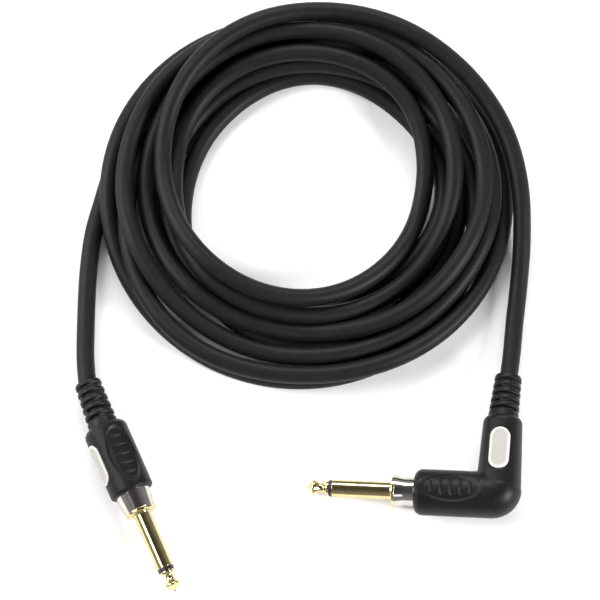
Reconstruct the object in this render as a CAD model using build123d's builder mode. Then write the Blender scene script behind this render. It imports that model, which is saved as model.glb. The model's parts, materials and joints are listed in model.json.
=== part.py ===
from build123d import *
import os
from math import asin, degrees, pi, radians, tan

# Instrument cable: a round cable wound into a loose coil, with a straight phone plug on one
# end and a right-angle phone plug on the other. Millimetres. The floor is Z = 0, +Z is up, and
# the origin lies on the floor midway between the two plugs.

# ---- Driving dimensions --------------------------------------------------------------------

# The plug's pin, measured from the shoulder (the face of the gold rim) towards the tip
pin_radius = 6.35 / 2
pin_length = 30.5
sleeve_length = 21.4
insulator_width = 1.2
sleeve_bore_radius = 2.3
stem_radius = 3.0
stem_length = 3.8
tip_radius = 2.85
tip_shoulder_radius = 2.65
tip_shoulder_width = 0.9
tip_cone_length = 2.2
tip_ball_width = 0.6
tip_point_length = 0.5
tip_point_radius = 0.7
tip_flat_radius = 0.25
neck_radius = 1.65
neck_length = 2.4
rod_radius = 1.2
insulator_radius = 2.95
insulator_spigot = 1.0

# Rim and collar behind the shoulder
rim_width = 1.2
rim_radius = 5.7
rim_edge = 0.4
collar_length = 6.8
collar_wall = 1.4
collar_skirt = 2.0
cup_radius = 4.5

# Solder end
lug_thickness = 0.6
ground_washer_radius = 4.2
ground_strip_offset = 3.3
ground_strip_width = 3.0
ground_strip_end = 13.0
rear_insulator_radius = 2.95
rear_insulator_thickness = 1.4
tip_lug_radius = 2.4
tip_strip_width = 2.0
tip_strip_length = 4.7
rod_tail = 0.6

# Cable
cable_diameter = 6.5
core_radius = 1.5
wire_radius = 0.45
wire_end = 7.4
core_end = 12.0
screen_radius = 0.6
screen_end = 9.6
solder_thickness = 0.5
solder_width = 2.0
solder_waist = 0.8
core_solder_start = 10.0
screen_solder_start = 11.9

# Hard inner shell under the soft grip
shell_outer_radius = 5.6
shell_inner_radius = 4.3

# Soft grips
straight_grip_radius = 7.95
straight_grip_length = 26.9
straight_collar_rear_radius = 6.3
straight_jacket_end = 20.0
angle_grip_radius = 8.25
angle_corner_distance = 29.8
angle_corner_bend = 2.2
angle_leg_length = 29.2
angle_leg_root_radius = 8.15
angle_leg_top_radius = 6.95
angle_collar_rear_radius = 5.05
angle_collar_cone = 3.0
angle_jacket_end = 11.0
grip_edge_fillet = 1.2
grip_shoulder_fillet = 3.0
angle_leg_top_fillet = 2.5

# Finger recesses and their ribs
angle_recess_inset = 2.5
recess_length = 22.0
recess_width = 10.5
recess_depth = 0.7
rib_count = 5
rib_pitch = 3.5
rib_width = 0.5
rib_height = 0.35
rib_length = 7.0

# Blank badge
badge_length = 15.7
badge_width = 7.2
badge_thickness = 1.2
badge_proud = 0.15
badge_gap = 0.12
angle_badge_inset = 5.8

# Strain relief boots; a boot's plane has its origin on the grip's back
boot_root = 3.0
boot_root_radius = 5.5
boot_end_radius = 4.8
boot_core_radius = 4.0
boot_chamfer = 0.45
arc_share = 0.45
cutter_reach = 1.0
slot_count = 5
slot_span = 140.0
straight_boot_length = 17.6
straight_slot_pitch = 3.1
straight_slot_width = 1.0
straight_first_slot = 2.6
angle_boot_length = 16.2
angle_slot_pitch = 2.8
angle_slot_width = 0.6
angle_first_slot = 2.7

# How the two plugs lie: headings are turned from the -Y and -X directions, in degrees
straight_rear = (-70.3, 19.3)
straight_heading = 23.8
straight_roll = -19.0
straight_boot_heading = 20.5
straight_boot_slope = 8.7
straight_exit_heading = 8.0
straight_exit_slope = 6.0
angle_corner = (70.1, -6.9)
angle_heading = 4.2
angle_roll = 6.0
angle_boot_heading = 8.5
angle_boot_slope = 11.0
angle_exit_heading = 9.5
angle_exit_slope = 9.0
exit_run = 6.0
exit_clear = 0.9

# The cable's free stretches, from each plug to the coil, after the straight run out of the boot
straight_first_run = 7.0
straight_tail_route = [
    (-77.5, 57.2, 3.3),
    (-77.3, 71.2, 3.3),
    (-76.5, 84.1, 3.3),
    (-74.9, 94.9, 3.3),
    (-71.8, 105.5, 3.3),
]
angle_first_run = 7.5
angle_tail_route = [
    (77.5, 58.0, 3.6),
    (79.1, 70.0, 3.6),
    (80.1, 80.0, 5.0),
    (80.7, 88.0, 6.3),
]

# The coil as it lies: outer and inner outline and the height of its top
coil_centre = (6.2, 105.0)
coil_radius_x = 78.2
coil_radius_y = 71.0
coil_opening_centre = (1.7, 109.0)
coil_opening_radius_x = 41.0
coil_opening_radius_y = 40.5
coil_height = 22.0
coil_outer_fillet = 6.0
coil_inner_fillet = 3.0

# Clearances between pieces
turned_clearance = 0.05
mould_clearance = 0.02
floor_gap = 0.1

# ---- Worked out from them ------------------------------------------------------------------

cable_radius = cable_diameter / 2
tip_strip_place = rod_radius + turned_clearance
screen_bead_radius = screen_radius + solder_thickness
screen_offset = ground_strip_offset - screen_bead_radius
collar_rear = rim_width + collar_length
wall_front = rim_width + collar_wall
insulator_end = sleeve_length + insulator_width
neck_start = insulator_end + tip_shoulder_width
cone_start = pin_length - tip_cone_length
rear_insulator_start = stem_length
rear_insulator_end = rear_insulator_start + rear_insulator_thickness
tip_lug_end = rear_insulator_end + lug_thickness
rod_end = tip_lug_end + rod_tail
shell_front = collar_rear + collar_skirt + turned_clearance
up = Vector(0, 0, 1)
origin = Vector(0, 0, 0)

# The straight plug lies flat on its grip
straight_along = Vector(0, -1, 0).rotate(Axis.Z, straight_heading)
straight_face = up.rotate(Axis(origin, straight_along), straight_roll)
straight_back = Vector(straight_rear[0], straight_rear[1], straight_grip_radius)
straight_shoulder = straight_back + straight_along * (straight_grip_length + collar_rear)
straight_pin = Plane(origin=straight_shoulder, x_dir=straight_face, z_dir=straight_along)

# The angle plug rests on its tip and on the rounded end of its grip, so it pitches forward
angle_corner_back = collar_rear + angle_corner_distance
rest_point = cone_start - tip_ball_width / 2 + collar_rear + grip_shoulder_fillet
angle_pitch = degrees(asin((angle_grip_radius - tip_radius) / rest_point))
level_leg = Vector(0, 1, 0).rotate(Axis.Z, -angle_heading)
angle_along = Vector(-1, 0, 0).rotate(Axis.Z, -angle_heading)
angle_along = angle_along.rotate(Axis(origin, level_leg), -angle_pitch)
angle_leg = level_leg.rotate(Axis(origin, angle_along), angle_roll)
angle_face = angle_leg.cross(angle_along)
rest_height = (angle_grip_radius - grip_shoulder_fillet) * abs(angle_face.Z) + grip_shoulder_fillet
corner_height = rest_height - angle_along.Z * (angle_corner_distance - grip_shoulder_fillet)
corner_height += floor_gap
angle_corner_point = Vector(angle_corner[0], angle_corner[1], corner_height)
angle_shoulder = angle_corner_point + angle_along * angle_corner_back
angle_pin = Plane(origin=angle_shoulder, x_dir=angle_face, z_dir=angle_along)
angle_leg_plane = Plane(origin=angle_corner_point, x_dir=angle_face, z_dir=angle_leg)


def lying(heading, slope):
    """A direction that heads away from +Y towards -X by heading, and falls by slope."""
    level = Vector(0, 1, 0).rotate(Axis.Z, heading)
    return (level - up * tan(radians(slope))).normalized()


def boot_plane(back, face, heading, slope):
    """Where a boot stands: its origin on the grip's back, Z towards the cable."""
    away = lying(heading, slope)
    return Plane(origin=back, x_dir=(face - away * face.dot(away)).normalized(), z_dir=away)


straight_boot = boot_plane(straight_back, straight_face, straight_boot_heading, straight_boot_slope)
angle_top = angle_leg_plane.from_local_coords(Vector(0, 0, angle_leg_length))
angle_boot = boot_plane(angle_top, angle_face, -angle_boot_heading, angle_boot_slope)
straight_exit_way = lying(straight_exit_heading, straight_exit_slope)
angle_exit_way = lying(-angle_exit_heading, angle_exit_slope)
straight_mouth = straight_boot.from_local_coords(Vector(0, 0, straight_boot_length))
angle_mouth = angle_boot.from_local_coords(Vector(0, 0, angle_boot_length))
straight_exit = straight_mouth + straight_exit_way * exit_clear
angle_exit = angle_mouth + angle_exit_way * exit_clear

os.makedirs("parts", exist_ok=True)


# ---- Helpers -------------------------------------------------------------------------------


def at(plane, z, x=0.0, y=0.0):
    """A point given in a plane's own coordinates."""
    return plane.from_local_coords(Vector(x, y, z))


def turned(plane, outline):
    """A solid turned about a plane's Z axis, from (place along the axis, radius) points."""
    side = Plane(origin=plane.origin, x_dir=plane.z_dir, z_dir=plane.z_dir.cross(plane.x_dir))
    with BuildPart() as piece:
        with BuildSketch(side):
            with BuildLine():
                Polyline(*outline, close=True)
            make_face()
        revolve(axis=Axis(plane.origin, plane.z_dir))
    return piece


def run_of(points):
    """A cable's path: straight runs joined by tangent arcs, each as large as its runs allow."""
    points = [Vector(*p) if isinstance(p, tuple) else p for p in points]
    radii = []
    for before, here, after in zip(points, points[1:], points[2:]):
        turn = (here - before).get_angle(after - here)
        shorter = min((here - before).length, (after - here).length)
        radii.append(arc_share * shorter / tan(radians(turn / 2)))
    with BuildLine() as path:
        FilletPolyline(*points, radius=radii)
    return path, radii


def round_run(points, radius, bore=0.0):
    """A round bar, or a tube with a bore, along a path."""
    path, radii = run_of(points)
    start = Plane(origin=path.line @ 0, z_dir=path.line % 0)
    with BuildPart() as piece:
        with BuildSketch(start):
            Circle(radius)
            if bore:
                Circle(bore, mode=Mode.SUBTRACT)
        sweep(path=path.line)
    return piece, path, radii


def keep(piece, name):
    piece.part.label = name
    export_step(piece.part, f"parts/{name}.step")


# ---- Contacts, insulators and lugs, the same in both plugs ---------------------------------


def tip_contact(pin):
    """Turned tip with its neck, on the rod that runs back to the tip lug."""
    outline = [
        (-rod_end, 0),
        (-rod_end, rod_radius),
        (insulator_end, rod_radius),
        (insulator_end, tip_shoulder_radius),
        (neck_start, tip_shoulder_radius),
        (neck_start + tip_shoulder_radius - neck_radius, neck_radius),
        (neck_start + neck_length, neck_radius),
        (cone_start - tip_ball_width, tip_radius),
        (cone_start, tip_radius),
        (pin_length - tip_point_length, tip_point_radius),
        (pin_length, tip_flat_radius),
        (pin_length, 0),
    ]
    return turned(pin, outline)


def tip_insulator(pin):
    """Ring between tip and sleeve, with a spigot that centres it in the sleeve."""
    bore = rod_radius + turned_clearance
    spigot = sleeve_bore_radius - turned_clearance
    outline = [
        (sleeve_length - insulator_spigot, bore),
        (sleeve_length - insulator_spigot, spigot),
        (sleeve_length, spigot),
        (sleeve_length, insulator_radius),
        (insulator_end, insulator_radius),
        (insulator_end, bore),
    ]
    return turned(pin, outline)


def rod_tube(pin):
    """Insulating tube between the rod and the sleeve."""
    bore = rod_radius + turned_clearance
    outside = sleeve_bore_radius - turned_clearance
    start = -stem_length
    end = sleeve_length - insulator_spigot
    return turned(pin, [(start, bore), (start, outside), (end, outside), (end, bore)])


def sleeve_contact(pin):
    """Gold sleeve with its rim and the stem that holds the ground lug."""
    outline = [
        (-stem_length, sleeve_bore_radius),
        (-stem_length, stem_radius),
        (-rim_width, stem_radius),
        (-rim_width, rim_radius),
        (-rim_edge, rim_radius),
        (0, rim_radius - rim_edge),
        (0, pin_radius),
        (sleeve_length, pin_radius),
        (sleeve_length, sleeve_bore_radius),
    ]
    return turned(pin, outline)


def collar(pin, rear_radius, cone):
    """Nickel collar: a cup whose front wall sits behind the rim and whose skirt is moulded in."""
    bore = stem_radius + turned_clearance
    skirt_end = -collar_rear - collar_skirt
    outline = [
        (-rim_width, bore),
        (-rim_width, rim_radius),
        (-rim_width - cone, rear_radius),
        (skirt_end, rear_radius),
        (skirt_end, cup_radius),
        (-wall_front, cup_radius),
        (-wall_front, bore),
    ]
    return turned(pin, outline)


def ground_lug(pin):
    """Washer on the stem with the strip that the screen is soldered to."""
    washer_end = wall_front + lug_thickness
    with BuildPart() as lug:
        with BuildSketch(pin.offset(-washer_end)):
            Circle(ground_washer_radius)
            Circle(stem_radius + turned_clearance, mode=Mode.SUBTRACT)
        extrude(amount=lug_thickness)
        with BuildSketch(pin.offset(-ground_strip_end)):
            with Locations((0, -ground_strip_offset - lug_thickness / 2)):
                Rectangle(ground_strip_width, lug_thickness)
        extrude(amount=ground_strip_end - wall_front)
    return lug


def rear_insulator(pin):
    """Washer that keeps the tip lug off the sleeve."""
    bore = rod_radius + turned_clearance
    start = -rear_insulator_end
    end = -rear_insulator_start
    outside = rear_insulator_radius
    return turned(pin, [(start, bore), (start, outside), (end, outside), (end, bore)])


def tip_lug(pin):
    """Washer riveted on the rod, with the strip that the core is soldered to."""
    with BuildPart() as lug:
        with BuildSketch(pin.offset(-tip_lug_end)):
            Circle(tip_lug_radius)
            Circle(rod_radius, mode=Mode.SUBTRACT)
        extrude(amount=lug_thickness)
        with BuildSketch(pin.offset(-tip_lug_end - tip_strip_length)):
            with Locations((0, tip_strip_place + lug_thickness / 2)):
                Rectangle(tip_strip_width, lug_thickness)
        extrude(amount=tip_strip_length + lug_thickness)
    return lug


def solder_bead(wire, start, bore, outside):
    """Bead of solder around a wire or a twisted screen, up against its lug's strip."""
    slope = (solder_width - solder_waist) / 2
    end = start + solder_width
    outline = [(start, bore), (start + slope, outside), (end - slope, outside), (end, bore)]
    return turned(wire, outline)


# ---- Strain relief boot --------------------------------------------------------------------


def strain_relief(base, length, pitch, width, first, straight_first, jacket):
    """Ringed boot: rings with slots between them, cut in turn across the top and the sides."""
    cuts = [length - first - i * pitch for i in range(slot_count)]
    outline = [(-boot_root, 0), (-boot_root, boot_root_radius)]
    for cut in reversed(cuts):
        ring_radius = boot_root_radius + (boot_end_radius - boot_root_radius) * cut / length
        outline.append((cut - width / 2 - boot_chamfer, ring_radius))
        outline.append((cut - width / 2, ring_radius - boot_chamfer))
        outline.append((cut + width / 2, ring_radius - boot_chamfer))
        outline.append((cut + width / 2 + boot_chamfer, ring_radius))
    outline += [(length - boot_chamfer, boot_end_radius), (length, boot_end_radius - boot_chamfer)]
    outline.append((length, 0))
    rings = turned(base, outline)
    with BuildPart() as boot:
        add(rings.part)
        for i, cut in enumerate(cuts):
            middle = 0 if (i % 2 == 0) == straight_first else 90
            with BuildSketch(base.offset(cut - width / 2)):
                for side in (middle, middle + 180):
                    with BuildLine():
                        start = side - slot_span / 2
                        arc = CenterArc((0, 0), boot_root_radius + cutter_reach, start, slot_span)
                        Line(arc @ 0, (0, 0))
                        Line(arc @ 1, (0, 0))
                    make_face()
                Circle(boot_core_radius, mode=Mode.SUBTRACT)
            extrude(amount=width, mode=Mode.SUBTRACT)
        add(jacket.part, mode=Mode.SUBTRACT)
    return boot


# ---- Recess and badge cutters --------------------------------------------------------------


def finger_recess(plane, middle, radius, side):
    """The space of a finger recess on a round grip, with its ribs left standing."""
    floor = radius - recess_depth
    facing = plane.x_dir * side
    seat = Plane(origin=at(plane, middle), x_dir=plane.z_dir, z_dir=facing)
    with BuildPart() as space:
        with BuildSketch(seat.offset(radius / 2)):
            Ellipse(recess_length / 2, recess_width / 2)
        extrude(amount=radius)
        with BuildSketch(plane.offset(middle - recess_length)):
            Circle(floor)
        extrude(amount=2 * recess_length, mode=Mode.SUBTRACT)
        with BuildSketch(seat.offset(floor - recess_depth)):
            with GridLocations(rib_pitch, 1, rib_count, 1):
                Rectangle(rib_width, rib_length)
        extrude(amount=recess_depth + rib_height, mode=Mode.SUBTRACT)
    return space


def badge_block(plane, middle, facing, inside, outside, grow):
    """An oblong with round ends that follows a round grip, between two radii."""
    seat = Plane(origin=at(plane, middle), x_dir=plane.z_dir, z_dir=facing)
    reach = badge_length / 2 + badge_width
    band = turned(plane, [(middle - reach, inside[0]), (middle - reach, outside[0]),
                          (middle + reach, outside[1]), (middle + reach, inside[1])])
    with BuildPart() as block:
        with BuildSketch(seat):
            SlotOverall(badge_length + 2 * grow, badge_width + 2 * grow)
        extrude(amount=2 * max(outside))
        add(band.part, mode=Mode.INTERSECT)
    return block


# ---- Straight plug -------------------------------------------------------------------------

grip_back = -(collar_rear + straight_grip_length)

straight_cable = [
    at(straight_pin, -straight_jacket_end),
    straight_back,
    straight_exit - straight_exit_way * exit_run,
    straight_exit,
]
straight_jacket, _, _ = round_run(straight_cable, cable_radius)
keep(straight_jacket, "straight_jacket_end")

straight_core = turned(straight_pin, [
    (-straight_jacket_end, wire_radius + turned_clearance),
    (-straight_jacket_end, core_radius),
    (-core_end, core_radius),
    (-core_end, wire_radius + turned_clearance),
])
keep(straight_core, "straight_core_insulation")

straight_wire = turned(straight_pin, [
    (-straight_jacket_end, 0), (-straight_jacket_end, wire_radius),
    (-wire_end, wire_radius), (-wire_end, 0)])
keep(straight_wire, "straight_core_wire")

with BuildPart() as straight_screen:
    with BuildSketch(straight_pin.offset(-straight_jacket_end)):
        with Locations((0, -screen_offset)):
            Circle(screen_radius)
    extrude(amount=straight_jacket_end - screen_end)
keep(straight_screen, "straight_screen_pigtail")

straight_shell = turned(straight_pin, [
    (-shell_front, shell_inner_radius),
    (-shell_front, shell_outer_radius),
    (grip_back + boot_root + grip_shoulder_fillet, shell_outer_radius),
    (grip_back + boot_root + grip_shoulder_fillet, shell_inner_radius),
])
keep(straight_shell, "straight_inner_shell")

straight_relief = strain_relief(
    straight_boot, straight_boot_length, straight_slot_pitch, straight_slot_width,
    straight_first_slot, False, straight_jacket)
keep(straight_relief, "straight_strain_relief")

straight_badge_middle = grip_back + straight_grip_length / 2
badge_radii = (straight_grip_radius + badge_proud, straight_grip_radius + badge_proud)
badge_floor = (straight_grip_radius - badge_thickness, straight_grip_radius - badge_thickness)
straight_badge = badge_block(
    straight_pin, straight_badge_middle, straight_pin.y_dir, badge_floor, badge_radii, 0)
keep(straight_badge, "straight_badge")

pocket_top = straight_grip_radius + cutter_reach
straight_pocket = badge_block(
    straight_pin, straight_badge_middle, straight_pin.y_dir, badge_floor,
    (pocket_top, pocket_top), badge_gap)
straight_recesses = [
    finger_recess(straight_pin, straight_badge_middle, straight_grip_radius, side)
    for side in (1, -1)]
shell_space = straight_grip_length - boot_root - grip_shoulder_fillet

with BuildPart() as straight_grip:
    with BuildSketch(straight_pin.offset(grip_back)):
        Circle(straight_grip_radius)
    extrude(amount=straight_grip_length)
    back_edge = straight_grip.edges().sort_by(Axis(straight_pin.origin, straight_pin.z_dir))[0]
    front_edge = straight_grip.edges().sort_by(Axis(straight_pin.origin, straight_pin.z_dir))[-1]
    fillet(back_edge, grip_shoulder_fillet)
    fillet(front_edge, grip_edge_fillet)
    with BuildSketch(straight_pin.offset(-collar_rear)):
        Circle(straight_collar_rear_radius + mould_clearance)
    extrude(amount=-collar_skirt - turned_clearance, mode=Mode.SUBTRACT)
    with BuildSketch(straight_pin.offset(-collar_rear)):
        Circle(shell_outer_radius + mould_clearance)
    extrude(amount=-shell_space, mode=Mode.SUBTRACT)
    for recess in straight_recesses:
        add(recess.part, mode=Mode.SUBTRACT)
    add(straight_pocket.part, mode=Mode.SUBTRACT)
    add(straight_jacket.part, mode=Mode.SUBTRACT)
    add(straight_relief.part, mode=Mode.SUBTRACT)
keep(straight_grip, "straight_grip_body")

# ---- Angle plug ----------------------------------------------------------------------------

angle_cable = [
    at(angle_leg_plane, angle_jacket_end),
    at(angle_leg_plane, angle_leg_length),
    angle_exit - angle_exit_way * exit_run,
    angle_exit,
]
angle_jacket, _, _ = round_run(angle_cable, cable_radius)
keep(angle_jacket, "angle_jacket_end")

angle_core, _, _ = round_run(
    [at(angle_leg_plane, angle_jacket_end), angle_corner_point, at(angle_pin, -core_end)],
    core_radius, wire_radius + turned_clearance)
keep(angle_core, "angle_core_insulation")

with BuildLine() as angle_wire_path:
    FilletPolyline(at(angle_leg_plane, angle_jacket_end), angle_corner_point,
                   at(angle_pin, -wire_end), radius=arc_share * angle_jacket_end)
with BuildPart() as angle_wire:
    with BuildSketch(Plane(origin=angle_wire_path.line @ 0, z_dir=angle_wire_path.line % 0)):
        Circle(wire_radius)
    sweep(path=angle_wire_path.line)
keep(angle_wire, "angle_core_wire")

outside_corner = at(angle_pin, -angle_corner_back - screen_offset, y=-screen_offset)
angle_screen, _, _ = round_run(
    [at(angle_pin, -angle_corner_back - screen_offset, y=angle_jacket_end),
     outside_corner,
     at(angle_pin, -screen_end, y=-screen_offset)], screen_radius)
keep(angle_screen, "angle_screen_pigtail")

shell_leg = angle_leg_length - boot_root - grip_shoulder_fillet


def l_shaped(radius):
    """Two round bars that meet in a ball at the corner, as the inner shell runs."""
    along = turned(angle_pin, [(-angle_corner_back, 0), (-angle_corner_back, radius),
                               (-shell_front, radius), (-shell_front, 0)])
    down = turned(angle_leg_plane, [(0, 0), (0, radius), (shell_leg, radius), (shell_leg, 0)])
    with BuildPart() as bars:
        add(along.part)
        add(down.part)
        with BuildSketch(Plane(origin=angle_corner_point, x_dir=angle_along, z_dir=angle_face)):
            with BuildLine():
                Line((0, -radius), (0, radius))
                CenterArc((0, 0), radius, -90, 180)
            make_face()
        revolve(axis=Axis(angle_corner_point, angle_leg))
    return bars


shell_outside = l_shaped(shell_outer_radius)
shell_bore = l_shaped(shell_inner_radius)
with BuildPart() as angle_shell:
    add(shell_outside.part)
    add(shell_bore.part, mode=Mode.SUBTRACT)
keep(angle_shell, "angle_inner_shell")

angle_relief = strain_relief(
    angle_boot, angle_boot_length, angle_slot_pitch, angle_slot_width,
    angle_first_slot, True, angle_jacket)
keep(angle_relief, "angle_strain_relief")

leg_taper = (angle_leg_top_radius - angle_leg_root_radius) / angle_leg_length
angle_badge_middle = angle_leg_length - angle_badge_inset - badge_length / 2
angle_recess_middle = -collar_rear - angle_recess_inset - recess_length / 2
badge_reach = badge_length / 2 + badge_width
low_radius = angle_leg_root_radius + leg_taper * (angle_badge_middle - badge_reach)
high_radius = angle_leg_root_radius + leg_taper * (angle_badge_middle + badge_reach)
bend_leg_radius = angle_leg_root_radius + leg_taper * angle_corner_bend
leg_badge_floor = (low_radius - badge_thickness, high_radius - badge_thickness)
angle_badge = badge_block(
    angle_leg_plane, angle_badge_middle, angle_leg_plane.x_dir, leg_badge_floor,
    (low_radius + badge_proud, high_radius + badge_proud), 0)
keep(angle_badge, "angle_badge")

angle_pocket = badge_block(
    angle_leg_plane, angle_badge_middle, angle_leg_plane.x_dir, leg_badge_floor,
    (low_radius + cutter_reach, high_radius + cutter_reach), badge_gap)
angle_recesses = [
    finger_recess(angle_pin, angle_recess_middle, angle_grip_radius, side) for side in (1, -1)]
angle_hollow = l_shaped(shell_outer_radius + mould_clearance)

leg_cone = turned(angle_leg_plane, [
    (angle_corner_bend, 0), (angle_corner_bend, bend_leg_radius),
    (angle_leg_length, angle_leg_top_radius), (angle_leg_length, 0)])
with BuildPart() as leg_bar:
    add(leg_cone.part)
    top_edge = leg_bar.edges().sort_by(Axis(angle_corner_point, angle_leg))[-1]
    fillet(top_edge, angle_leg_top_fillet)

with BuildPart() as angle_grip:
    with BuildSketch(angle_pin.offset(-angle_corner_back + angle_corner_bend)):
        Circle(angle_grip_radius)
    extrude(amount=angle_corner_distance - angle_corner_bend)
    end_edge = angle_grip.edges().sort_by(Axis(angle_pin.origin, angle_pin.z_dir))[-1]
    fillet(end_edge, grip_shoulder_fillet)
    bend_centre = at(angle_pin, -angle_corner_back + angle_corner_bend, y=angle_corner_bend)
    with BuildSketch(Plane(origin=bend_centre, x_dir=-angle_leg, z_dir=angle_along)):
        with Locations((angle_corner_bend, 0)):
            Circle(angle_grip_radius)
        with Locations((angle_corner_bend + 2 * angle_grip_radius, 0)):
            Rectangle(4 * angle_grip_radius + 2 * angle_corner_bend, 4 * angle_grip_radius,
                      mode=Mode.INTERSECT)
    revolve(axis=Axis(bend_centre, angle_face), revolution_arc=90)
    add(leg_bar.part)
    with BuildSketch(angle_pin.offset(-collar_rear)):
        Circle(angle_collar_rear_radius + mould_clearance)
    extrude(amount=-collar_skirt - turned_clearance, mode=Mode.SUBTRACT)
    add(angle_hollow.part, mode=Mode.SUBTRACT)
    for recess in angle_recesses:
        add(recess.part, mode=Mode.SUBTRACT)
    add(angle_pocket.part, mode=Mode.SUBTRACT)
    add(angle_jacket.part, mode=Mode.SUBTRACT)
    add(angle_relief.part, mode=Mode.SUBTRACT)
keep(angle_grip, "angle_grip_body")

# ---- Pieces that both plugs share ----------------------------------------------------------

plugs = (
    ("straight", straight_pin, straight_collar_rear_radius, collar_length),
    ("angle", angle_pin, angle_collar_rear_radius, angle_collar_cone),
)
for name, pin, collar_rear_radius, cone in plugs:
    keep(tip_contact(pin), f"{name}_tip_contact")
    keep(tip_insulator(pin), f"{name}_tip_insulator")
    keep(rod_tube(pin), f"{name}_rod_tube")
    keep(sleeve_contact(pin), f"{name}_sleeve_contact")
    keep(collar(pin, collar_rear_radius, cone), f"{name}_collar")
    keep(ground_lug(pin), f"{name}_ground_lug")
    keep(rear_insulator(pin), f"{name}_rear_insulator")
    keep(tip_lug(pin), f"{name}_tip_lug")
    keep(solder_bead(pin, -core_solder_start, wire_radius, tip_strip_place),
         f"{name}_core_solder")
    beside = Plane(origin=at(pin, 0, y=-screen_offset), x_dir=pin.x_dir, z_dir=pin.z_dir)
    keep(solder_bead(beside, -screen_solder_start, screen_radius, screen_bead_radius),
         f"{name}_screen_solder")

# ---- Cable ---------------------------------------------------------------------------------


def tail(exit_point, way, first_run, route, name):
    """The free stretch between a boot and the coil, as a plain tube."""
    points = [exit_point, exit_point + way * first_run] + [Vector(*p) for p in route]
    piece, path, radii = round_run(points, cable_radius)
    keep(piece, name)
    length = sum(edge.length for edge in path.edges())
    print(name, "length", round(length, 1), "radii", [round(r, 1) for r in radii],
          "volume ratio", round(piece.part.volume / (pi * cable_radius**2 * length), 4))
    return piece


tail(straight_exit, straight_exit_way, straight_first_run, straight_tail_route, "straight_tail")
tail(angle_exit, angle_exit_way, angle_first_run, angle_tail_route, "angle_tail")

with BuildPart() as coil:
    with BuildSketch(Plane.XY):
        with Locations(coil_centre):
            Ellipse(coil_radius_x, coil_radius_y)
        with Locations(coil_opening_centre):
            Ellipse(coil_opening_radius_x, coil_opening_radius_y, mode=Mode.SUBTRACT)
    extrude(amount=coil_height)
    top_edges = coil.edges().group_by(Axis.Z)[-1].sort_by(SortBy.LENGTH)
    fillet(top_edges[-1], coil_outer_fillet)
    fillet(top_edges[0], coil_inner_fillet)
keep(coil, "cable_coil")
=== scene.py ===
# %% [markdown]
# # An instrument cable, coiled on a pale table
#
# A guitar lead lies as it comes out of a gig bag: a loose coil of black cable, a straight phone
# plug on one end and a right-angle phone plug on the other. The plugs were drawn in CAD. Here
# they get their finishes, and the pieces whose looks matter most are made again in finer detail.
#
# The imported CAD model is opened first, because every later piece takes its place from it.

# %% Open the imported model
import json
import math

import bmesh
import bpy
from mathutils import Matrix, Vector


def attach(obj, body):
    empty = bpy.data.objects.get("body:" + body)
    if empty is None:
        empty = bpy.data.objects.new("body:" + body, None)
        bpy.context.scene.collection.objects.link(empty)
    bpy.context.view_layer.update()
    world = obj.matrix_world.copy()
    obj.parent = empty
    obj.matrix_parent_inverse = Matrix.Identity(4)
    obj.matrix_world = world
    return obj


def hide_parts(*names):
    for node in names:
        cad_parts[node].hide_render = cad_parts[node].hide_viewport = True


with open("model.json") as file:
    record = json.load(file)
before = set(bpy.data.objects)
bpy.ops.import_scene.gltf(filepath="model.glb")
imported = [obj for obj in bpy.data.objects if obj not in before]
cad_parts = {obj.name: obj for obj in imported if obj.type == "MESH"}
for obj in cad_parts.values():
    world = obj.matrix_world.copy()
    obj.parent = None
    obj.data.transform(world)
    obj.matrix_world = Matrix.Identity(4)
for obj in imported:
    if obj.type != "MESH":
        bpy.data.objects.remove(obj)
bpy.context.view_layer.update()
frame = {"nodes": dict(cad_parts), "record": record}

MM = 0.001
print("CAD nodes:", len(frame["nodes"]))

# %% [markdown]
# ## Where the viewer stands
#
# The lead lies flat, so it's seen from well above, a little from the front. A long lens from far
# off keeps the round coil round. The camera looks at a point on the table between the plugs and
# the far side of the coil.

# %% Place the camera
VIEW_HEIGHT_ANGLE = math.radians(75)
VIEW_DISTANCE = 1.2
LOOKED_AT = Vector((0, 0.068, 0))

towards_camera = Vector((0, -math.cos(VIEW_HEIGHT_ANGLE), math.sin(VIEW_HEIGHT_ANGLE)))
camera_lens = bpy.data.cameras.new("camera")
camera_lens.lens = 198
camera_lens.sensor_width = 36
camera_lens.clip_start = 0.05
camera_lens.clip_end = 20
camera = bpy.data.objects.new("camera", camera_lens)
camera.location = LOOKED_AT + towards_camera * VIEW_DISTANCE
camera.rotation_euler = (math.pi / 2 - VIEW_HEIGHT_ANGLE, 0, 0)
bpy.context.collection.objects.link(camera)
bpy.context.scene.camera = camera
print("camera at", [round(c, 3) for c in camera.location])

# %% [markdown]
# ## Table and light
#
# Small goods are shot on white paper under big soft lamps. Black rubber then shows its shape by
# the pale paper mirrored along its edges, and metal shows bright and dark bands, but only if the
# room also has dark parts to mirror. So the room is dim and the light comes from a few panels.

# %% Lay the table
def plain_surface(name, colour, roughness):
    """A matt material for what isn't part of the object."""
    material = bpy.data.materials.new(name)
    material.use_nodes = True
    shader = material.node_tree.nodes["Principled BSDF"]
    shader.inputs["Base Color"].default_value = (*colour, 1)
    shader.inputs["Roughness"].default_value = roughness
    return material


TABLE_HALF = 3.0
table_mesh = bpy.data.meshes.new("table")
table_mesh.from_pydata(
    [(x * TABLE_HALF, y * TABLE_HALF, 0) for x, y in ((-1, -1), (1, -1), (1, 1), (-1, 1))],
    [], [(0, 1, 2, 3)])
table = bpy.data.objects.new("table", table_mesh)
table.data.materials.append(plain_surface("white_paper", (0.93, 0.93, 0.93), 0.9))
bpy.context.collection.objects.link(table)
print("table side in m:", 2 * TABLE_HALF)


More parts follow.
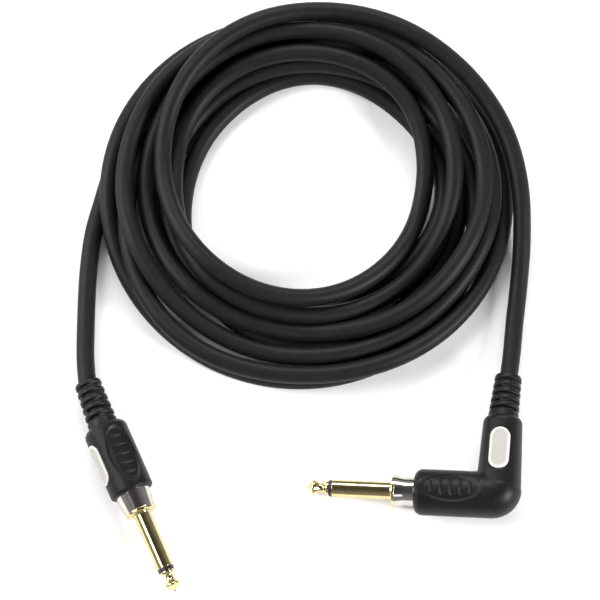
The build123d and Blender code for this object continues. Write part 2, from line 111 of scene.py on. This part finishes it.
# %% Hang the lamps
def lamp_panel(name, place, aim, width, length, watts):
    """A rectangular soft lamp that points at a place."""
    light = bpy.data.lights.new(name, "AREA")
    light.shape = "RECTANGLE"
    light.size, light.size_y = width, length
    light.energy = watts
    lamp = bpy.data.objects.new(name, light)
    lamp.location = place
    lamp.rotation_euler = (Vector(aim) - Vector(place)).to_track_quat("-Z", "Y").to_euler()
    bpy.context.collection.objects.link(lamp)


MIDDLE = (0, 0.08, 0)
lamp_panel("panel_left", (-1.3, 0.3, 1.0), MIDDLE, 1.0, 1.4, 33)
lamp_panel("panel_right", (1.3, -0.55, 0.8), MIDDLE, 0.4, 0.5, 30)
lamp_panel("panel_back", (0, 1.5, 1.2), MIDDLE, 1.6, 0.6, 27)
lamp_panel("panel_front", (0.3, -1.3, 1.3), MIDDLE, 0.9, 0.35, 3)

# The room is pale by the walls and dim overhead: (height, grey), with 0 at the horizon and 1
# straight overhead
ROOM_SHADES = [(0.0, 0.4), (0.6, 0.25), (1.0, 0.06)]
room = bpy.data.worlds.new("room")
room.use_nodes = True
background = room.node_tree.nodes["Background"]
outlook = room.node_tree.nodes.new("ShaderNodeTexCoord")
split = room.node_tree.nodes.new("ShaderNodeSeparateXYZ")
walls = room.node_tree.nodes.new("ShaderNodeValToRGB")
walls.color_ramp.elements.new(0.5)
for element, (height, shade) in zip(walls.color_ramp.elements, ROOM_SHADES):
    element.position = height
    element.color = (shade, shade, shade, 1)
room.node_tree.links.new(outlook.outputs["Generated"], split.inputs["Vector"])
room.node_tree.links.new(split.outputs["Z"], walls.inputs["Fac"])
room.node_tree.links.new(walls.outputs["Color"], background.inputs["Color"])
background.inputs["Strength"].default_value = 1.0
bpy.context.scene.world = room
bpy.context.scene.view_settings.view_transform = "Standard"

# %% [markdown]
# ## How the cable lies
#
# The cable is one line from plug to plug. Out of each boot it runs as the CAD's free stretches
# do, so their points are repeated here. Between them it goes round more than eight times. Loose
# turns aren't equal circles: each one wanders in and out over the others. So each turn is given
# by how far it is from the middle of the coil in eight directions, and a loop fills in the rest.

# %% Free stretches, from the plugs to the coil
CABLE_THICKNESS = 6.5 * MM

straight_exit = Vector((-76.517, 36.482, 5.194)) * MM
straight_exit_way = Vector((-0.138411, 0.984843, -0.104528))
straight_first_run = 7.0 * MM
straight_route = [
    (-77.5, 57.2, 3.3), (-77.3, 71.2, 3.3), (-76.5, 84.1, 3.3),
    (-74.9, 94.9, 3.3), (-71.8, 105.5, 3.3)]

angle_exit = Vector((75.146, 38.636, 5.727)) * MM
angle_exit_way = Vector((0.163016, 0.974143, -0.156434))
angle_first_run = 7.5 * MM
angle_route = [(77.5, 58.0, 3.6), (79.1, 70.0, 3.6), (80.1, 80.0, 5.0), (80.7, 88.0, 6.3)]

straight_stretch = [straight_exit, straight_exit + straight_exit_way * straight_first_run]
straight_stretch += [Vector(point) * MM for point in straight_route]
angle_stretch = [angle_exit, angle_exit + angle_exit_way * angle_first_run]
angle_stretch += [Vector(point) * MM for point in angle_route]
print("points in the free stretches:", len(straight_stretch), len(angle_stretch))

# %% Turns of the coil, in millimetres from its middle, clockwise from the left
COIL_MIDDLE = Vector((4, 107, 0)) * MM
POINTS_IN_AN_EIGHTH = 3
turns = [
    # left        far         right       near
    (75.5, 66.0, 59.5, 57.0, 55.5, 54.0, 58.8, 53.8),
    (46.5, 44.2, 46.2, 45.9, 49.0, 43.5, 45.0, 53.0),
    (53.0, 50.7, 48.6, 51.5, 59.5, 66.5, 70.4, 73.4),
    (74.6, 70.6, 65.3, 68.0, 71.3, 71.5, 69.9, 73.2),
    (67.0, 58.0, 56.2, 63.3, 67.0, 63.8, 62.6, 65.3),
    (68.5, 67.5, 62.7, 63.8, 63.4, 58.8, 53.7, 58.0),
    (60.5, 61.0, 59.0, 57.2, 52.3, 48.7, 47.8, 51.0),
    (50.0, 53.5, 51.2, 48.7, 41.3, 39.5, 42.4, 47.4),
    (53.3, 61.5, 65.5, 70.3, 76.7),
]
marks = [distance for turn in turns for distance in turn]


def between(before, start, end, after, share):
    """A smooth curve's value between two marks, led by the marks on each side of them."""
    bend = 2 * before - 5 * start + 4 * end - after
    twist = 3 * (start - end) + after - before
    return start + share / 2 * (end - before + share * (bend + share * twist))


distances = []
for mark in range(1, (len(marks) - 1) * POINTS_IN_AN_EIGHTH + 1):
    eighth, step = divmod(mark, POINTS_IN_AN_EIGHTH)
    if step == 0:
        distances.append(marks[eighth] * MM)
        continue
    around = [marks[max(0, min(len(marks) - 1, eighth + i))] for i in (-1, 0, 1, 2)]
    distances.append(between(*around, step / POINTS_IN_AN_EIGHTH) * MM)
print("points in the coil:", len(distances))

# %% [markdown]
# ## How high the cable lies
#
# A turn rests on the table, or in the groove between the turns already under it, like logs on a
# pile. Two round cables that touch have their middles one thickness apart, and that gives the
# height. A stiff cable can't drop at once behind a crossing, so it comes down at a gentle slope.

# %% Let each turn settle on those beneath
IN_A_TURN = 8 * POINTS_IN_AN_EIGHTH
CLEAR_OF_TABLE = 0.05 * MM
LYING_HEIGHT = CABLE_THICKNESS / 2 + CLEAR_OF_TABLE
STEEPEST_DROP = 2.2 * MM    # from one point to the next
SETTLING_ROUNDS = 12
heights = [LYING_HEIGHT] * len(distances)


def height_on_the_pile(i):
    """How high a point must lie to rest on every earlier turn in the same direction."""
    height = LYING_HEIGHT
    for below in range(i - IN_A_TURN, -1, -IN_A_TURN):
        apart = abs(distances[i] - distances[below])
        if apart < CABLE_THICKNESS:
            height = max(height, heights[below] + math.sqrt(CABLE_THICKNESS**2 - apart**2))
    return height


for _ in range(SETTLING_ROUNDS):
    for i in range(len(heights)):
        nearby = [heights[j] - STEEPEST_DROP for j in (i - 1, i + 1) if 0 <= j < len(heights)]
        heights[i] = max([height_on_the_pile(i)] + nearby)
print("top of the pile in mm:", round((max(heights) + CABLE_THICKNESS / 2) / MM, 1))

# %% Turn distances and heights into points
coil_points = []
for i, (distance, height) in enumerate(zip(distances, heights), start=1):
    heading = math.pi - 2 * math.pi * i / IN_A_TURN
    way = Vector((math.cos(heading), math.sin(heading), 0))
    coil_points.append(COIL_MIDDLE + way * distance + Vector((0, 0, height)))
cable_points = straight_stretch + coil_points + angle_stretch[::-1]
print("points in the whole cable:", len(cable_points))

# %% Draw the cable
# A curve's box reaches out by each point's radius. So half the thickness is the points' radius,
# and the bevel, which is multiplied by it, stays at 1.
cable_curve = bpy.data.curves.new("cable", "CURVE")
cable_curve.dimensions = "3D"
cable_curve.resolution_u = 5
cable_curve.bevel_depth = 1
cable_curve.bevel_resolution = 6
cable_line = cable_curve.splines.new("NURBS")
cable_line.points.add(len(cable_points) - 1)
for spot, point in zip(cable_line.points, cable_points):
    spot.co = (*point, 1)
    spot.radius = CABLE_THICKNESS / 2
cable_line.order_u = 3
cable_line.use_endpoint_u = True
cable = bpy.data.objects.new("cable", cable_curve)
bpy.context.collection.objects.link(cable)

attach(cable, "root")
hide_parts("straight_tail", "angle_tail", "cable_coil")

# %% [markdown]
# ## Finishes
#
# A finish starts from the shine that the whole surface shares, set straight on the shader. What
# varies over the surface comes from noise patterns: the colour drifts between near shades, and
# specks and grain lie on top. Small helpers do both, so each finish below is only a few lines.

# %% A helper for finishes
def finish(name, roughness, metallic=0.0, reflectance=0.5):
    """A new material with its constants on the shader's own sockets."""
    material = bpy.data.materials.new(name)
    material.use_nodes = True
    shader = material.node_tree.nodes["Principled BSDF"]
    shader.inputs["Roughness"].default_value = roughness
    shader.inputs["Metallic"].default_value = metallic
    shader.inputs["Specular IOR Level"].default_value = reflectance
    return material


def grain(material, per_mm, detail=2.0):
    """A noise pattern fixed to the object, with so many grains in a millimetre."""
    tree = material.node_tree
    place = tree.nodes.new("ShaderNodeTexCoord")
    noise = tree.nodes.new("ShaderNodeTexNoise")
    noise.inputs["Scale"].default_value = per_mm / MM
    noise.inputs["Detail"].default_value = detail
    tree.links.new(place.outputs["Object"], noise.inputs["Vector"])
    return noise.outputs["Fac"]


def blend_of_colours(material, pattern, stops):
    """The base colour, taken from a ramp of colours along a pattern."""
    tree = material.node_tree
    ramp = tree.nodes.new("ShaderNodeValToRGB")
    while len(ramp.color_ramp.elements) < len(stops):
        ramp.color_ramp.elements.new(0.5)
    for element, (place, colour) in zip(ramp.color_ramp.elements, stops):
        element.position = place
        element.color = (*colour, 1)
    tree.links.new(pattern, ramp.inputs["Fac"])
    tree.links.new(ramp.outputs["Color"],
                   tree.nodes["Principled BSDF"].inputs["Base Color"])


def raised(material, pattern, depth_mm):
    """Bumps that follow a pattern, so many millimetres deep."""
    tree = material.node_tree
    bump = tree.nodes.new("ShaderNodeBump")
    bump.inputs["Distance"].default_value = depth_mm * MM
    tree.links.new(pattern, bump.inputs["Height"])
    tree.links.new(bump.outputs["Normal"],
                   tree.nodes["Principled BSDF"].inputs["Normal"])


# %% Black rubbers
def cable_rubber():
    """Soft matt jacket, very slightly uneven."""
    material = finish("cable_rubber", roughness=0.5, reflectance=0.18)
    blend_of_colours(material, grain(material, 0.35, detail=4.0),
                     [(0.3, (0.0062, 0.0061, 0.0052)), (0.7, (0.0094, 0.0092, 0.0080))])
    raised(material, grain(material, 1.2), 0.04)
    return material


def grip_rubber():
    """Moulded grip, matt, with fine pale specks."""
    material = finish("grip_rubber", roughness=0.42, reflectance=0.2)
    blend_of_colours(material, grain(material, 3.0, detail=3.0),
                     [(0.35, (0.0040, 0.0039, 0.0033)), (0.62, (0.0062, 0.0061, 0.0052)),
                      (0.75, (0.025, 0.0245, 0.022))])
    raised(material, grain(material, 2.2), 0.05)
    return material


# %% Plated metals
def gold_plating():
    """Polished gold, a little greenish and pale as thin plating is."""
    material = finish("gold_plating", roughness=0.1, metallic=1.0)
    blend_of_colours(material, grain(material, 0.5),
                     [(0.3, (0.62, 0.51, 0.25)), (0.7, (0.74, 0.63, 0.36))])
    raised(material, grain(material, 6.0), 0.002)
    return material


def nickel_plating():
    """Bright nickel, warmer than chrome."""
    material = finish("nickel_plating", roughness=0.12, metallic=1.0)
    blend_of_colours(material, grain(material, 0.4),
                     [(0.3, (0.54, 0.51, 0.47)), (0.7, (0.61, 0.58, 0.54))])
    raised(material, grain(material, 6.0), 0.002)
    return material


# %% Plastics and bare metals
def moulded(name, dark, light, roughness):
    """A moulded plastic with a faint mottle between two near colours."""
    material = finish(name, roughness=roughness)
    blend_of_colours(material, grain(material, 1.0), [(0.3, dark), (0.7, light)])
    raised(material, grain(material, 3.0), 0.01)
    return material


def badge_plastic():
    """Cream plastic, white on its raised rim."""
    material = finish("badge_plastic", roughness=0.35)
    rim = material.node_tree.nodes.new("ShaderNodeAttribute")
    rim.attribute_name = "rim"
    blend_of_colours(material, rim.outputs["Fac"],
                     [(0.0, (0.40, 0.38, 0.35)), (1.0, (0.58, 0.57, 0.55))])
    raised(material, grain(material, 3.0), 0.01)
    return material


def metal(name, dark, light, roughness):
    """A bare metal with a faint mottle between two near colours."""
    material = finish(name, roughness=roughness, metallic=1.0)
    blend_of_colours(material, grain(material, 1.0), [(0.3, dark), (0.7, light)])
    raised(material, grain(material, 4.0), 0.01)
    return material

# %% All the finishes, by the record's slot names
finishes = {
    "cable_jacket": cable_rubber(),
    "grip_rubber": grip_rubber(),
    "gold_plating": gold_plating(),
    "nickel_plating": nickel_plating(),
    "ring_plastic": moulded("ring_plastic", (0.008, 0.008, 0.008), (0.014, 0.014, 0.014), 0.35),
    "natural_plastic": moulded("natural_plastic", (0.70, 0.68, 0.62), (0.80, 0.78, 0.72), 0.45),
    "shell_plastic": moulded("shell_plastic", (0.03, 0.03, 0.03), (0.045, 0.045, 0.045), 0.5),
    "badge_plastic": badge_plastic(),
    "core_plastic": moulded("core_plastic", (0.74, 0.74, 0.72), (0.84, 0.84, 0.82), 0.4),
    "lug_brass": metal("lug_brass", (0.58, 0.44, 0.20), (0.68, 0.54, 0.28), 0.3),
    "solder": metal("solder", (0.45, 0.45, 0.46), (0.62, 0.62, 0.63), 0.4),
    "copper_screen": metal("copper_screen", (0.70, 0.34, 0.20), (0.82, 0.45, 0.30), 0.35),
    "copper_wire": metal("copper_wire", (0.72, 0.35, 0.20), (0.84, 0.46, 0.30), 0.25),
}
cable.data.materials.append(finishes["cable_jacket"])
print("finishes:", len(finishes))

# %% Give every CAD piece its finish
for entry in frame["record"]["subparts"]:
    piece = frame["nodes"][entry["node"]]
    for spot in piece.material_slots:
        spot.material = finishes[entry["material_slot"]]

# %% [markdown]
# ## Where the plugs are
#
# The record says where the middle of each gold sleeve is and which way its tip points. The finer
# pieces below take their places from there. A plug's own lengths start at its shoulder, where
# the sleeve meets the gold rim, and count towards the tip, so what lies behind it is negative.

# %% Take the plugs' places from the record
def plug_place(mount_name):
    """A plug's shoulder and the direction in which its tip points."""
    mount = next(m for m in frame["record"]["mounts"] if m["name"] == mount_name)
    way = Vector(mount["axis"]).normalized()
    return Vector(mount["pos_m"]) - way * mount["dims"]["length_mm"] * MM / 2, way


straight_shoulder, straight_way = plug_place("straight_pin")
angle_shoulder, angle_way = plug_place("angle_pin")
print("shoulders:", [round(c, 4) for c in (*straight_shoulder, *angle_shoulder)])


# %% Helpers that put a finer piece in a CAD piece's place
SAME_PLACE = 0.001 * MM


def take_the_place_of(node_name, shape, slot_name):
    """A smooth object from a mesh under construction, standing in for one CAD piece."""
    bmesh.ops.remove_doubles(shape, verts=shape.verts, dist=SAME_PLACE)
    bmesh.ops.recalc_face_normals(shape, faces=shape.faces)
    mesh = bpy.data.meshes.new(f"{node_name}_fine")
    shape.to_mesh(mesh)
    shape.free()
    mesh.materials.append(finishes[slot_name])
    mesh.shade_smooth()
    piece = bpy.data.objects.new(f"{node_name}_fine", mesh)
    bpy.context.collection.objects.link(piece)
    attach(piece, "root")
    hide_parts(node_name)
    return piece


def skin_between(shape, rings, closed):
    """Faces between rings of corners; a closed skin joins the last ring to the first."""
    pairs = list(zip(rings, rings[1:]))
    if closed:
        pairs.append((rings[-1], rings[0]))
    for ring, following in pairs:
        for i in range(len(ring)):
            j = (i + 1) % len(ring)
            shape.faces.new((ring[i], ring[j], following[j], following[i]))


# %% [markdown]
# ## Turned metal
#
# A lathe leaves every edge a hair round, and that round catches a bright line of light. So the
# pin, its black ring, the gold rim and the nickel collar are turned again with softened corners.

# %% Helpers that turn an outline with softened corners
STEPS_ROUND = 72
MOST_OF_AN_EDGE = 0.3
FLAT_BEGINS = 1.5    # a point this many reaches from the corner keeps the flat beyond it flat


def softened_outline(outline, reach, closed):
    """The outline with each corner eased into a short curve, so many millimetres either way."""
    points = [Vector(point) for point in outline]
    eased = []
    for i, corner in enumerate(points):
        if not closed and i in (0, len(points) - 1):
            eased.append(corner)
            continue
        back = points[i - 1] - corner
        ahead = points[(i + 1) % len(points)] - corner
        short = min(reach, MOST_OF_AN_EDGE * back.length, MOST_OF_AN_EDGE * ahead.length)
        start = corner + back.normalized() * short
        end = corner + ahead.normalized() * short
        eased.append(corner + back.normalized() * FLAT_BEGINS * short)
        for share in (0, 0.25, 0.5, 0.75, 1):
            eased.append(start.lerp(corner, share).lerp(corner.lerp(end, share), share))
        eased.append(corner + ahead.normalized() * FLAT_BEGINS * short)
    return eased


def turned(node_name, shoulder, way, outline, reach, slot_name):
    """A piece turned about the plug's line, from (place along it, radius) in millimetres."""
    closed = outline[0][1] > 0
    side = way.orthogonal().normalized()
    up = way.cross(side)
    shape = bmesh.new()
    rings = []
    for along, radius in softened_outline(outline, reach, closed):
        ring = []
        for step in range(STEPS_ROUND):
            turn = 2 * math.pi * step / STEPS_ROUND
            spoke = side * math.cos(turn) + up * math.sin(turn)
            ring.append(shape.verts.new(shoulder + (way * along + spoke * radius) * MM))
        rings.append(ring)
    skin_between(shape, rings, closed)
    return take_the_place_of(node_name, shape, slot_name)


# %% Turn the metal and the ring of both plugs
CRISP, SOFT, SOFTEST = 0.15, 0.2, 0.35
sleeve_outline = [
    (-3.8, 2.3), (-3.8, 3.0), (-1.2, 3.0), (-1.2, 5.7), (-0.35, 5.7), (0, 5.35),
    (0, 3.75), (0.3, 3.75), (0.3, 3.175), (21.4, 3.175), (21.4, 2.3)]
tip_outline = [
    (-6.4, 0), (-6.4, 1.2), (22.6, 1.2), (22.6, 2.65), (23.5, 2.65), (24.5, 1.65),
    (25.9, 1.65), (27.7, 2.85), (28.3, 2.85), (30.0, 0.7), (30.5, 0.25), (30.5, 0)]
ring_outline = [
    (20.4, 1.25), (20.4, 2.25), (21.4, 2.25), (21.4, 2.95), (22.6, 2.95), (22.6, 1.25)]
collar_outlines = {
    "straight": [(-1.2, 3.05), (-1.2, 5.7), (-8.0, 6.3), (-10.0, 6.3), (-10.0, 4.5),
                 (-2.6, 4.5), (-2.6, 3.05)],
    "angle": [(-1.2, 3.05), (-1.2, 5.7), (-4.2, 5.05), (-10.0, 5.05), (-10.0, 4.5),
              (-2.6, 4.5), (-2.6, 3.05)],
}
turned_pieces = []
for end, shoulder, way in (("straight", straight_shoulder, straight_way),
                           ("angle", angle_shoulder, angle_way)):
    for part, outline, reach, slot_name in (
            ("sleeve_contact", sleeve_outline, CRISP, "gold_plating"),
            ("tip_contact", tip_outline, SOFTEST, "gold_plating"),
            ("tip_insulator", ring_outline, CRISP, "ring_plastic"),
            ("collar", collar_outlines[end], SOFT, "nickel_plating")):
        turned_pieces.append(turned(f"{end}_{part}", shoulder, way, outline, reach, slot_name))
print("turned pieces:", len(turned_pieces))

# %% [markdown]
# ## Badges
#
# Each grip has a pale oblong badge let into it. It is blank here, with the raised white rim of
# the real one round a slightly sunken cream field. It bends with the round grip under it.

# %% A helper that makes a badge
BADGE_LENGTH = 15.7
BADGE_WIDTH = 7.2
BADGE_STEPS = 20

# How far in from the edge, how far above the grip, and whether the ring belongs to the rim
badge_rings = [
    (3.6, -1.2, 0), (0.0, -1.2, 0), (0.0, 0.0, 1), (0.04, 0.16, 1), (0.2, 0.26, 1),
    (0.75, 0.26, 1), (0.95, 0.16, 0.6), (1.05, 0.1, 0), (1.6, 0.1, 0), (2.4, 0.1, 0),
    (3.0, 0.1, 0), (3.6, 0.1, 0)]


def badge(node_name, middle, along, facing, radius_at):
    """A blank badge with a raised rim, wrapped on a round grip; radius_at is in millimetres."""
    across = facing.cross(along)
    half_straight = (BADGE_LENGTH - BADGE_WIDTH) / 2
    shape = bmesh.new()
    rim = shape.verts.layers.float.new("rim")
    rings = []
    for inset, height, on_rim in badge_rings:
        ring = []
        for end in (1, -1):
            for step in range(BADGE_STEPS + 1):
                turn = math.pi * (step / BADGE_STEPS - 0.5)
                reach = BADGE_WIDTH / 2 - inset
                place = end * (half_straight + reach * math.cos(turn))
                aside = end * reach * math.sin(turn)
                radius = radius_at(place)
                lean = math.asin(aside / radius)
                spoke = facing * math.cos(lean) + across * math.sin(lean)
                corner = shape.verts.new(
                    middle + (along * place + spoke * (radius + height)) * MM)
                corner[rim] = on_rim
                ring.append(corner)
        rings.append(ring)
    skin_between(shape, rings, closed=False)
    return take_the_place_of(node_name, shape, "badge_plastic")


# %% Set the straight plug's badge
STRAIGHT_LEAN = math.radians(-19)
STRAIGHT_GRIP_RADIUS = 7.95
STRAIGHT_GRIP_MIDDLE = 21.45    # behind the shoulder

straight_face = Matrix.Rotation(STRAIGHT_LEAN, 3, straight_way) @ Vector((0, 0, 1))
straight_middle = straight_shoulder - straight_way * STRAIGHT_GRIP_MIDDLE * MM
straight_badge = badge("straight_badge", straight_middle, straight_way,
                       straight_way.cross(straight_face), lambda place: STRAIGHT_GRIP_RADIUS)
print("straight badge faces:", len(straight_badge.data.polygons))

# %% Set the angle plug's badge
ANGLE_HEADING = math.radians(4.2)
ANGLE_LEAN = math.radians(6)
CORNER_BEHIND_SHOULDER = 37.8
LEG_LENGTH = 29.2
LEG_ROOT_RADIUS = 8.15
LEG_NARROWS_BY = 1.2
BADGE_UP_THE_LEG = 15.55

level_leg = Vector((math.sin(ANGLE_HEADING), math.cos(ANGLE_HEADING), 0))
leg_way = Matrix.Rotation(ANGLE_LEAN, 3, angle_way) @ level_leg
angle_face = leg_way.cross(angle_way)
angle_corner = angle_shoulder - angle_way * CORNER_BEHIND_SHOULDER * MM


def leg_radius(place):
    """The leg's radius so far from the badge's middle; the leg narrows evenly to its top."""
    return LEG_ROOT_RADIUS - LEG_NARROWS_BY * (BADGE_UP_THE_LEG + place) / LEG_LENGTH


angle_badge = badge("angle_badge", angle_corner + leg_way * BADGE_UP_THE_LEG * MM, leg_way,
                    angle_face, leg_radius)
print("angle badge faces:", len(angle_badge.data.polygons))

# %% [markdown]
# ## Rubber grips and boots
#
# Moulded rubber has no sharp edges. Each grip and boot is made again from its CAD shape as one
# fine, even skin, and the skin is eased a little, so the slots and corners get soft edges. The
# skin's grid would leave pits in the floors of the finger recesses. So these are filled first,
# and then pressed into the finished skin by a formula, with their ribs.

# %% The shape of a finger recess
RECESS_HALF_LENGTH = 11.0
RECESS_HALF_WIDTH = 5.25
RECESS_DEPTH = 0.7
RECESS_EDGE = 0.7
RIB_PITCH = 3.5
RIB_HALF_WIDTH = 0.42
RIB_HEIGHT = 0.42
RIB_HALF_LENGTH = 3.4
END_RIB_HALF_LENGTH = 2.5
END_RIB = 2    # counted from the middle one
RIB_END_EASE = 0.4


def eased_step(share):
    """Goes gently from 0 to 1."""
    share = max(0.0, min(1.0, share))
    return share * share * (3 - 2 * share)


def recess_relief(along, aside):
    """How deep a recess is, in millimetres, at a place counted from its middle."""
    spread = math.hypot(along / RECESS_HALF_LENGTH, aside / RECESS_HALF_WIDTH)
    depth = RECESS_DEPTH * eased_step((1 - spread) * RECESS_HALF_WIDTH / RECESS_EDGE)
    rib = max(-END_RIB, min(END_RIB, round(along / RIB_PITCH)))
    rib_half_length = RIB_HALF_LENGTH if abs(rib) < END_RIB else END_RIB_HALF_LENGTH
    across_rib = 1 - abs(along - rib * RIB_PITCH) / RIB_HALF_WIDTH
    to_rib_end = (rib_half_length - abs(aside)) / RIB_END_EASE
    return depth - RIB_HEIGHT * eased_step(across_rib) * eased_step(to_rib_end)


# %% Helpers that fill the recesses and press them in again
FILLER_HALF_LENGTH = 11.6
FILLER_DEPTH = 1.5
FILLER_HALF_SPREAD = 45    # degrees round the grip
FILLER_STEP = 3
IRONED_SPREAD = 1.12    # a little past the recess's edge, which lies at 1
IRONED_DEPTH = 1.0      # skin that lies deeper than this isn't the grip's outside


def fill_recesses(shape, middle, along, facing, radius):
    """Two blocks that fill a grip's recesses up to its round, for the skin to close over."""
    across = facing.cross(along)
    block_corners = ((-FILLER_HALF_LENGTH, FILLER_DEPTH), (FILLER_HALF_LENGTH, FILLER_DEPTH),
                     (FILLER_HALF_LENGTH, 0), (-FILLER_HALF_LENGTH, 0))
    for side in (1, -1):
        rings = []
        for degrees in range(-FILLER_HALF_SPREAD, FILLER_HALF_SPREAD + 1, FILLER_STEP):
            turn = math.radians(degrees)
            spoke = facing * side * math.cos(turn) + across * math.sin(turn)
            rings.append([
                shape.verts.new(middle + (along * place + spoke * (radius - depth)) * MM)
                for place, depth in block_corners])
        skin_between(shape, rings, closed=False)
        shape.faces.new(rings[0])
        shape.faces.new(rings[-1])
    bmesh.ops.recalc_face_normals(shape, faces=shape.faces)


def iron_recesses(shape, middle, along, facing, radius):
    """Draws both recesses of a round grip cleanly on its even skin."""
    for corner in shape.verts:
        away = (corner.co - middle) / MM
        place = away.dot(along)
        spoke = away - along * place
        reach = spoke.length
        aside = facing.cross(along).dot(spoke)
        spread = math.hypot(place / RECESS_HALF_LENGTH, aside / RECESS_HALF_WIDTH)
        if spread < IRONED_SPREAD and reach > radius - IRONED_DEPTH:
            wanted = radius - recess_relief(place, aside)
            corner.co = middle + (along * place + spoke * wanted / reach) * MM


# %% A helper that makes one rubber piece again
def softened_rubber(node_name, fineness, passes, recess):
    """A CAD rubber piece as one even skin on a grid so many millimetres fine, eased in passes."""
    source = frame["nodes"][node_name]
    block = bpy.data.objects.new(f"{node_name}_block", source.data.copy())
    block.data.transform(source.matrix_world)
    shape = bmesh.new()
    shape.from_mesh(block.data)
    bmesh.ops.remove_doubles(shape, verts=shape.verts, dist=SAME_PLACE)
    if recess:
        fill_recesses(shape, *recess)
    shape.to_mesh(block.data)
    shape.free()
    bpy.context.collection.objects.link(block)
    even = block.modifiers.new("even", "REMESH")
    even.mode = "VOXEL"
    even.voxel_size = fineness * MM
    ease = block.modifiers.new("ease", "SMOOTH")
    ease.factor = 0.5
    ease.iterations = passes
    view = bpy.context.evaluated_depsgraph_get()
    skin = bmesh.new()
    skin.from_mesh(block.evaluated_get(view).to_mesh())
    bpy.data.objects.remove(block)
    if recess:
        iron_recesses(skin, *recess)
    return take_the_place_of(node_name, skin, "grip_rubber")


# %% Make the rubber again with soft edges
ANGLE_GRIP_RADIUS = 8.25
ANGLE_GRIP_MIDDLE = 21.5    # behind the shoulder

straight_recess = (straight_middle, straight_way, straight_face, STRAIGHT_GRIP_RADIUS)
angle_recess = (angle_shoulder - angle_way * ANGLE_GRIP_MIDDLE * MM, angle_way, angle_face,
                ANGLE_GRIP_RADIUS)
bpy.context.view_layer.update()
for node_name, fineness, passes, recess in (
        ("straight_grip_body", 0.22, 6, straight_recess),
        ("angle_grip_body", 0.26, 9, angle_recess),
        ("straight_strain_relief", 0.18, 3, None),
        ("angle_strain_relief", 0.18, 3, None)):
    piece = softened_rubber(node_name, fineness, passes, recess)
    print(node_name, "faces:", len(piece.data.polygons))

# %% Close the file
bpy.context.view_layer.update()
